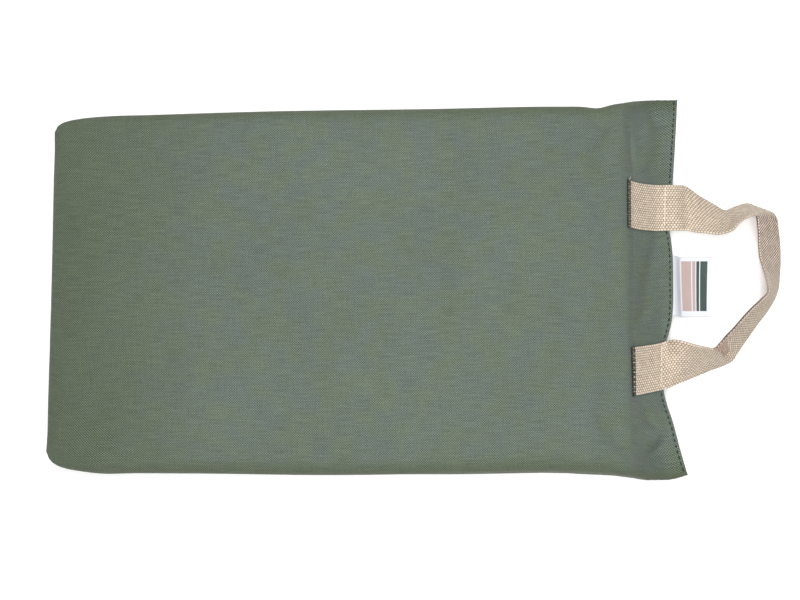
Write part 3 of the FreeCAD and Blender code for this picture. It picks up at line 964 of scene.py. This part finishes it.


# ---------------------------------------------------------------- handle webbing

# Stations along the webbing, from the rear tail's cut end to the front tail's: outer edge point, a point
# towards the inner edge, how far the webbing has left the cover, its lengthwise fold in degrees, the fold's
# distance from the outer edge, and how much painted shade it gets (below the rear corner's ridge and down
# the grip). Rows 10 to 36 were computed outside this script.
WEB_STATIONS = [
    ((193.3, 70.6, 37.0), (192.5, 39.2, 37.0), 0, 0, 20, 0),
    ((202.0, 70.1, 27.0), (201.2, 38.6, 27.0), 0, 0, 20, 0),
    ((211.5, 70.4, 18.0), (210.7, 38.8, 18.0), 0, 0, 20, 0),
    ((220.5, 70.8, 14.2), (219.5, 39.0, 14.2), 0, 0, 20, 0),
    ((229.0, 71.0, 13.4), (229.0, 39.1, 14.0), 0.8, 0, 20, 0),
    ((237.0, 71.2, 8.0), (238.0, 39.0, 10.5), 1, 0, 20, 0),
    ((248.0, 65.3, 2.0), (247.0, 37.0, 16.5), 1, 0, 20, 0),
    ((258.9, 58.9, 1.1), (257.0, 35.0, 22.0), 1, 0, 20, 0),
    ((265.3, 55.2, 1.0), (264.0, 36.7, 27.0), 1, 0, 20, 0),
    ((272.4, 57.6, 1.0), (268.7, 41.6, 28.5), 1, 0, 20, 0),
    ((277.4, 59.2, 1.0), (272.5, 44.1, 28.8), 1, 0, 20, 0),
    ((281.3, 59.7, 1.0), (274.6, 45.1, 28.7), 1, 0, 20, 0),
    ((287.6, 57.3, 1.0), (276.9, 46.0, 28.9), 1, 0, 20, 0),
    ((293.9, 54.9, 1.0), (278.7, 46.7, 28.0), 1, 0, 20, 0),
    ((298.9, 52.6, 1.0), (280.1, 47.3, 26.3), 1, 0, 20, 0),
    ((300.9, 49.3, 1.0), (280.7, 46.0, 25.6), 1, 0, 20, 1),
    ((301.8, 41.6, 1.0), (281.3, 40.4, 25.5), 1, 0, 20, 0.9),
    ((302.5, 31.8, 1.0), (281.5, 30.2, 25.1), 1, 0, 21, 0.7),
    ((302.3, 18.5, 1.0), (281.8, 18.5, 25.6), 1, 0, 22, 0.55),
    ((301.3, 8.0, 1.0), (283.6, 9.0, 27.6), 1, 4, 22, 0.4),
    ((300.0, -0.4, 1.0), (285.2, 0.3, 29.3), 1, 8, 22, 0.2),
    ((297.4, -7.1, 1.0), (285.1, -5.7, 30.3), 1, 14, 21, 0),
    ((292.3, -15.4, 1.0), (280.5, -10.9, 29.9), 1, 20, 21, 0),
    ((284.5, -25.3, 1.0), (274.0, -16.8, 29.3), 1, 24, 21, 0),
    ((277.5, -34.9, 1.0), (266.7, -24.6, 28.6), 1, 24, 21, 0),
    ((273.5, -40.3, 1.0), (261.3, -30.6, 28.2), 1, 24, 21, 0),
    ((271.2, -43.6, 1.0), (257.0, -34.9, 27.4), 1, 26, 18, 0),
    ((269.2, -46.7, 1.0), (252.9, -39.6, 26.5), 1, 30, 9, 0),
    ((266.9, -49.9, 1.0), (249.6, -42.9, 25.9), 1, 30, 9, 0),
    ((264.2, -51.4, 1.0), (247.9, -43.4, 27.3), 1, 2, 11, 0),
    ((260.0, -53.3, 1.0), (245.9, -43.0, 27.9), 1, 0, 13, 0),
    ((254.0, -55.4, 1.0), (243.2, -42.5, 28.2), 1, 0, 14, 0),
    ((243.0, -59.8, 2.0), (238.5, -41.2, 27.7), 1, 0, 16, 0),
    ((231.9, -64.1, 6.6), (230.8, -38.8, 26.0), 1, 0, 16, 0),
    ((225.5, -66.5, 10.2), (224.8, -36.8, 21.8), 1, 0, 16, 0),
    ((220.5, -68.7, 13.0), (220.2, -37.0, 15.6), 0.8, 0, 16, 0),
    ((211.0, -71.0, 18.0), (212.0, -39.4, 18.0), 0, 0, 16, 0),
    ((202.0, -72.8, 27.0), (202.6, -41.2, 27.0), 0, 0, 16, 0),
    ((193.1, -74.4, 37.0), (193.3, -42.9, 37.0), 0, 0, 16, 0),
]


def web_surface(cover):
    """The webbing's middle surface as a grid: points, normals, distance along it and how much painted shade
    it gets.
    """
    outer = np.array([s[0] for s in WEB_STATIONS])
    inner = np.array([s[1] for s in WEB_STATIONS])
    across = unit(inner - outer)
    middles = outer + across * WEB_WIDTH / 2
    steps = distances(middles)
    rails = curve_through([
        (at, [*edge, *way, *station[2:]])
        for at, edge, way, station in zip(steps, outer, across, WEB_STATIONS)
    ])
    rows = int(steps[-1] / WEB_STEP)
    values = rails(np.linspace(0, steps[-1], rows))
    edge, across = values[:, :3], unit(values[:, 3:6])
    free, fold = np.clip(values[:, 6], 0, 1), np.radians(np.maximum(values[:, 7:8], 0))
    crease, web_painted_shade = values[:, 8:9], np.clip(values[:, 9:10], 0, 1)
    travel = unit(np.gradient(edge + across * WEB_WIDTH / 2, axis=0))
    upright = unit(np.cross(travel, across))
    upright *= np.where(upright[:, 2:3] < 0, -1, 1)
    rest = WEB_WIDTH - crease
    chord = np.sqrt(crease ** 2 + rest ** 2 + 2 * crease * rest * np.cos(fold))
    dip = np.arcsin(rest * np.sin(fold) / chord)
    low_part = across * np.cos(dip) - upright * np.sin(dip)
    high_part = across * np.cos(fold - dip) + upright * np.sin(fold - dip)
    width = np.linspace(0, WEB_WIDTH, WEB_COLUMNS + 1)[None]
    first, second = np.minimum(width, crease)[..., None], np.maximum(width - crease, 0)[..., None]
    points = edge[:, None] + low_part[:, None] * first + high_part[:, None] * second
    lay_on_cover(points, free, cover)
    normals = unit(np.cross(np.gradient(points, axis=0), np.gradient(points, axis=1)))
    normals *= np.where(normals[:, :1, 2:3].mean() < 0, -1, 1)
    normals *= np.sign((normals * upright[:, None]).sum(2, keepdims=True))
    run = distances(points[:, WEB_COLUMNS // 2])
    # Painted shade on the far side of a lengthwise fold, stronger the sharper the fold.
    beyond = smooth_step(-1.2, 1.0, width - crease)
    tight = np.clip(np.degrees(fold) / 26, 0, 1.2)
    web_painted_shade = np.maximum(web_painted_shade, tight * beyond)
    return points, normals, run, web_painted_shade


def lay_on_cover(points, free, cover):
    """Brings the tails down onto the cover, blending into the free loop past the mouth edge."""
    lift = WEB_HALF + YARN_RELIEF + 0.15
    for i in np.flatnonzero(free < 1):
        for j in range(points.shape[1]):
            place = points[i, j]
            found = drop_onto(cover, min(place[0], float(MOUTH_EDGE(place[1])) - 0.4), place[1])
            if found is None:
                continue
            resting = found[0] + found[1] * lift
            resting[:2] = place[:2] + (found[1] * lift)[:2]
            share = float(smooth_step(0, 1, free[i]))
            points[i, j] = resting + (place - resting) * share


def yarn_relief(run, width, shift):
    """Height from 0 to 1 of the brick-like yarn crests at each row and column of the webbing."""
    rib_width = WEB_WIDTH / RIB_COUNT
    rib = np.minimum(np.floor(width / rib_width), RIB_COUNT - 1)
    inside = (width / rib_width - rib - 0.5) * 2
    turn = run[:, None] / GRAIN + 0.5 * (rib[None] % 2) + shift
    lobe = np.clip(0.58 + 0.62 * np.cos(2 * math.pi * turn), 0, 1) ** 0.75
    uneven = np.random.default_rng(11).uniform(0.68, 1.14, (int(turn.max()) + 2, RIB_COUNT))
    level = uneven[np.round(turn).astype(int), rib.astype(int)[None]]
    crest = np.clip(lobe * level, 0, 1.1) * np.sqrt(np.clip(1 - inside[None] ** 2, 0, 1))
    selvedge = 0.3 * bell(np.minimum(width, WEB_WIDTH - width), 0.5)
    return np.maximum(crest, selvedge[None])


def rim_faces(rows, columns):
    """Quads that join the edges of two grids, the second numbered straight after the first."""
    count = rows * columns
    faces = []
    for j in (0, columns - 1):
        for i in range(rows - 1):
            a, b = i * columns + j, (i + 1) * columns + j
            quad = [a, b, b + count, a + count]
            faces.append(quad if j else quad[::-1])
    for i in (0, rows - 1):
        for j in range(columns - 1):
            a, b = i * columns + j, i * columns + j + 1
            quad = [a, b, b + count, a + count]
            faces.append(quad[::-1] if i else quad)
    return np.array(faces)


def make_webbing(cover):
    """The whole strip: two tails on the cover and the loop between them, with its yarns modelled."""
    points, normals, run, web_painted_shade = web_surface(cover)
    rows, columns = points.shape[:2]
    width = np.linspace(0, WEB_WIDTH, columns)
    thin = 1 - 0.45 * (1 - smooth_step(0, 1.1, np.minimum(width, WEB_WIDTH - width)))
    layers, reliefs = [], []
    for number, side in enumerate((1, -1)):
        relief = yarn_relief(run, width, 0.5 * number)
        height = (WEB_HALF + YARN_RELIEF * relief) * thin[None]
        layers.append((points + side * height[..., None] * normals).reshape(-1, 3))
        reliefs.append(relief.ravel())
    top, under = (grid_faces(rows, columns, number * rows * columns) for number in (0, 1))
    faces = np.vstack([top, under[:, ::-1], rim_faces(rows, columns)])
    corner, ahead, _, beside = layers[0][top[0]]
    if np.cross(ahead - corner, beside - corner) @ normals[0, 0] < 0:
        faces = faces[:, ::-1]
    u, v = np.meshgrid(run, width, indexing="ij")
    flat = np.stack([u.ravel(), v.ravel()], 1)
    flat = np.vstack([flat, flat + (0, 50)])
    piece = new_piece("handle_webbing", np.vstack(layers), faces.tolist(), flat[faces.ravel()])
    add_attribute(piece, "relief", np.concatenate(reliefs))
    # The painted shade, kept for the material.
    add_attribute(piece, "web_painted_shade", np.concatenate([web_painted_shade.ravel()] * 2))
    return piece, points, normals


# ---------------------------------------------------------------- visible threads

def stitch_path(start, end, normal, proud, sunk):
    """A stitch that rises out of the cloth, lies along it and dips back in."""
    shares = np.linspace(0, 1, 9)
    height = proud - (proud + sunk) * np.abs(2 * shares - 1) ** 5
    return start + (end - start) * shares[:, None] + height[:, None] * normal


def make_mouth_stitches(top_tree, base_tree):
    """The dark row just inside the mouth edge, on both faces, left out where the tails cover it."""
    pitch, length, inset, step = 4.0, 1.9, 1.5, 0.1
    radius = {1: 0.48, -1: 0.36}       # the needle's thread on top, and the tighter one underneath
    edge = np.array([(float(MOUTH_EDGE(y)) - inset, y, 0) for y in np.arange(-124.8, 131.0, 0.5)])
    path = even_points(edge, step)
    jitter = np.random.default_rng(5)
    row = Parts()
    for first in range(4, len(path) - 22, int(pitch / step)):
        a, b = path[first], path[first + int(length / step)]
        slip = jitter.uniform(-0.18, 0.18, 2)
        for tree, up in ((top_tree, 1), (base_tree, -1)):
            found = [drop_onto(tree, p[0] + s, p[1], up) for p, s in zip((a, b), slip)]
            if None in found or (up > 0 and hidden_by_tail(a[1])):
                continue
            (start, normal), (end, _) = found
            stitch = stitch_path(start, end, normal, 0.34, 0.4)
            row.add(tube(stitch, radius[up], twist=0.6))
    return row.piece("mouth_thread")


def hidden_by_tail(y):
    """Whether a place across the mouth is under the webbing."""
    return any(low < y < high for low, high in ((40.5, 69.5), (-68.5, -40.5)))


def make_tail_stitches(name, web_tree, ends):
    """The light row across a tail, along a line in plan."""
    start, end = (np.array(e) for e in ends)
    line = end - start
    count, length, radius = 8, 2.9, 0.29
    jitter = np.random.default_rng(3)
    row = Parts()
    for i in range(count):
        middle = start + line * (i + 0.5) / count
        half = unit(line) * length / 2 + jitter.uniform(-0.12, 0.12, 2)
        found = [drop_onto(web_tree, *(middle + s * half)) for s in (-1, 1)]
        if None in found:
            continue
        (a, normal), (b, _) = found
        row.add(tube(stitch_path(a, b, normal, 0.16, 0.3), radius, twist=0.6))
    return row.piece(name)


# The light rows across the tails, from one y to another, and how far the bindings reach past the webbing
TAIL_ROWS = {"rear": (42.0, 69.6), "front": (-69.0, -40.2)}
BINDING_REACHES = {"rear": (0.9, 0.9), "front": (0.6, 1.8)}


def make_tail_rows(web_tree):
    """The row on each tail, a little to the pad's side of the line that the loop turns about."""
    axis = SWING_AXIS[:2]
    behind = np.array([axis[1], -axis[0]]) * 1.6
    rows = {}
    for name, span in TAIL_ROWS.items():
        ends = [SWING_POINT[:2] + axis * (y - SWING_POINT[1]) / axis[1] + behind for y in span]
        rows[name] = make_tail_stitches("handle_thread_" + name, web_tree, ends)
    return rows


def make_bindings(points, normals):
    """The binding on the webbing's first row, at the rear, and on its last, at the front."""
    made = {}
    for name, row, inside in (("rear", 0, 3), ("front", -1, -4)):
        outward = unit((points[row] - points[inside]).mean(0))
        reaches = BINDING_REACHES[name]
        made[name] = make_binding("tail_binding_" + name, points[row], outward, normals[row], *reaches)
    return made


def make_binding(name, edge, outward, normals, reach_from, reach_to):
    """Overlock thread round a tail's cut end: dark loops, some pale, and a line on each face and the edge."""
    across = unit(edge[-1] - edge[0])
    count = int(np.linalg.norm(edge[-1] - edge[0]) / 1.05)
    jitter = np.random.default_rng(8)
    binding = Parts()
    turns = np.linspace(0, 2 * math.pi, 20, endpoint=False)
    tips = []
    for i in range(count + 1):
        share = i / count
        index = int(share * (len(edge) - 1))
        place, normal = edge[index], normals[index]
        reach = reach_from + (reach_to - reach_from) * share + jitter.uniform(-0.15, 0.15)
        slant = jitter.uniform(-0.35, 0.35) + 0.35
        half = reach / 2 + 0.45
        centre = place + outward * (reach / 2 - 0.3)
        tall = 0.92 + jitter.uniform(-0.06, 0.06)
        loop = [
            centre + outward * half * math.cos(t) + normal * tall * math.sin(t) * abs(math.sin(t)) ** 0.2
            + across * slant * math.sin(t) * 0.8 for t in turns
        ]
        binding.add(tube(loop, 0.28, 7, twist=0.7, closed=True), 1 if i % 6 == 2 else 0)
        tips.append((place, normal, reach))
    for side in (1, -1):
        wave = [
            p + outward * (-0.75 + 0.35 * (i % 2)) + n * side * 0.98 for i, (p, n, r) in enumerate(tips)
        ]
        binding.add(tube(even_points(np.array(wave), 0.35), 0.25, 7, twist=0.7))
    lock = [p + outward * (r + 0.25 * (i % 2)) for i, (p, n, r) in enumerate(tips)]
    binding.add(tube(even_points(np.array(lock), 0.35), 0.3, 7, twist=0.7))
    return binding.piece(name)


# Loose yarn ends: row and column of the webbing where each one starts, its first direction and its length
FRAYS = [
    (0, 1, (0.3, 0.8, 0.5), 3.4), (0, 60, (-0.8, 0.2, 0.4), 1.6), (-1, 12, (-0.9, -0.1, 0.4), 1.4),
    (-1, 66, (-0.8, 0.3, 0.4), 1.8), (-1, 79, (-0.6, 0.7, 0.3), 1.5),
]


def make_frays(name, web_points):
    """Loose ends of webbing yarn that stick out at the tails' cut ends."""
    jitter = np.random.default_rng(21)
    bits = Parts()
    step = 0.4
    for row, column, aim, length in FRAYS:
        path = [web_points[row, column]]
        heading = unit(np.array(aim))
        for _ in range(int(length / step)):
            heading = unit(heading + jitter.normal(0, 0.22, 3) + (0, 0, -0.06))
            path.append(path[-1] + heading * step)
        bits.add(tube(path, 0.13, 6))
    return bits.piece(name)


# ---------------------------------------------------------------- label

LABEL_HALF = 0.13
LABEL_FOLD = 0.31     # radius of the folded end
LABEL_PATH = [        # side view of the upper layer, from inside the mouth to the folded end
    (219.5, 12.15), (223.5, 12.1), (226.2, 11.6), (228.6, 9.6), (230.6, 6.4), (232.6, 3.3), (236.0, 2.3),
    (240.5, 1.75), (247.0, 1.45), (252.0, 1.35),
]
LABEL_ENDS = ((-19.6, 252.6), (22.2, 254.8))   # (y, x) of the folded end's two corners
LABEL_COLUMNS = 43
BAND_V = (4.1, 38.9)  # where the bands start and end across the ribbon, and each band's place along it
BANDS = [
    (18.2, 25.2, "pink"), (25.8, 28.0, "pink"), (28.6, 30.6, "green"), (31.2, 36.0, "green"),
]


def label_route():
    """Side view of the whole ribbon: out along the top, round the fold and back beneath."""
    above = np.array(LABEL_PATH)
    side = curve_through([(at, list(p)) for at, p in zip(distances(above), above)])
    upper = side(np.linspace(0, distances(above)[-1], 90))
    turn = np.linspace(math.pi / 2, -math.pi / 2, 9)[1:-1]
    fold = upper[-1] - (0, LABEL_FOLD) + LABEL_FOLD * np.stack([np.cos(turn), np.sin(turn)], 1)
    return np.vstack([upper, fold, upper[::-1] - (0, 2 * LABEL_FOLD)])


def make_label():
    """The folded ribbon and the length that it has when flat."""
    low, high = LABEL_ENDS
    v = np.linspace(0, high[0] - low[0], LABEL_COLUMNS)
    share = v / v[-1]
    tip = low[1] + (high[1] - low[1]) * share
    rows = []
    for x, z in label_route():
        slant = smooth_step(232, 252, x) * (tip - 252.3)
        lift = 0.5 * np.array([bumps(x * 1.2, w, 13, 8.8) for w in v]) * float(smooth_step(228, 240, x))
        cup = 0.8 * (2 * share - 1) ** 2 * float(smooth_step(224, 234, x))
        rows.append(np.stack([x + slant, low[0] + v, z + np.abs(lift) * 0.8 + cup], 1))
    points = np.array(rows)
    places = distances(points[:, LABEL_COLUMNS // 2])
    faces = grid_faces(*points.shape[:2])
    u, w = np.meshgrid(places, v, indexing="ij")
    flat = np.stack([u.ravel(), w.ravel()], 1)
    piece = new_piece("label_ribbon", points.reshape(-1, 3), faces.tolist(), flat[faces.ravel()])
    thicken(piece, 2 * LABEL_HALF, 0.0)
    return piece, float(places[-1])


# ---------------------------------------------------------------- camera, light and floor

CAMERA_AT = (61.7, -104.3, 864.2)
CAMERA_AIM = (38.8, -7.9, 20.0)
CAMERA_ROLL = -0.33
LENS = 56.1


def make_camera():
    """Above the pad, looking almost straight down, with the pad's rear side at the top."""
    data = bpy.data.cameras.new("camera")
    data.lens = LENS
    data.clip_start = 0.05
    camera = add_object("camera", data)
    ahead = (Vector(CAMERA_AIM) - Vector(CAMERA_AT)).normalized()
    right = ahead.cross(Vector((0, 1, 0))).normalized()
    up = right.cross(ahead)
    turn = Matrix.Rotation(math.radians(CAMERA_ROLL), 4, "Z")
    axes = Matrix((right, up, -ahead)).transposed().to_4x4() @ turn
    camera.matrix_world = Matrix.Translation(Vector(CAMERA_AT) * MM) @ axes
    bpy.context.scene.camera = camera


def make_light():
    """A long soft light overhead, across the pad, in an even white room."""
    data = bpy.data.lights.new("softbox", "AREA")
    data.shape = "RECTANGLE"
    data.size, data.size_y = 0.4, 2.2
    data.energy = 23.0
    add_object("softbox", data).location = (0.08, -0.06, 1.0)
    world = bpy.data.worlds.new("room")
    bpy.context.scene.world = world
    world.use_nodes = True
    background = world.node_tree.nodes["Background"].inputs
    background["Color"].default_value = (1.0, 1.0, 1.0, 1)
    background["Strength"].default_value = 0.19
    bpy.context.scene.view_settings.view_transform = "Standard"


def make_floor():
    """A plain white sheet under the pad."""
    size, z = 15000.0, -0.1
    corners = [(-size, -size, z), (size, -size, z), (size, size, z), (-size, size, z)]
    floor = new_piece("floor", corners, [[0, 1, 2, 3]])
    floor.data.materials.append(floor_material())


# ---------------------------------------------------------------- the kneeler

def dress(piece, slot, *materials):
    """Gives a piece its materials; slot is not used."""
    piece.data.materials.clear()
    for material in materials:
        piece.data.materials.append(material)


def build():
    """Makes every piece, gives it its look, hides the CAD parts that it stands in for and hangs the pad's
    pieces on the pad's body.
    """
    make_camera()
    make_light()
    make_floor()
    top, base, lines = make_cover()
    top_tree, base_tree = surface_tree(top), surface_tree(base)
    webbing, web_points, web_normals = make_webbing(top_tree)
    foam = make_foam(surface_tree(top, base))
    seams = make_seam_threads(lines)
    mouth = make_mouth_stitches(top_tree, base_tree)
    stitches = make_tail_rows(surface_tree(webbing))
    bindings = make_bindings(web_points, web_normals)
    frays = make_frays("handle_frays", web_points)
    label, label_length = make_label()
    thicken(top, CLOTH)
    thicken(base, CLOTH)

    cloth = cover_material()
    dark = thread_material("dark_sewing_thread", (0.011, 0.014, 0.011, 1), 0.55)
    pale = thread_material("pale_sewing_thread", (0.74, 0.67, 0.53, 1), 0.55)
    hidden = thread_material("seam_thread", (0.11, 0.15, 0.11, 1), 0.6)
    dress(top, "cover_cloth", cloth)
    dress(base, "cover_cloth", cloth)
    dress(webbing, "webbing", webbing_material())
    dress(foam, "foam", foam_material())
    dress(mouth, "dark_thread", dark)
    dress(label, "label_satin", label_material())
    dress(frays, "webbing", pale)
    for piece in seams:
        dress(piece, "seam_thread", hidden)
    for name in stitches:
        dress(stitches[name], "light_thread", pale)
        dress(bindings[name], "dark_thread", dark, pale)
        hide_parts("handle_stitching_" + name)
        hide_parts("handle_end_binding_" + name)

    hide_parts("cover_top_panel")
    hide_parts("cover_base_panel")
    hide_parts("foam_core")
    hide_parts("mouth_stitching")
    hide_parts("handle_tail_front", "handle_tail_rear", "handle_loop")
    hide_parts("label")
    for piece in [top, base, foam, mouth, frays, *seams, *stitches.values(), *bindings.values()]:
        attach(piece, "pad")
    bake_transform(webbing)
    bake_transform(label)


build()
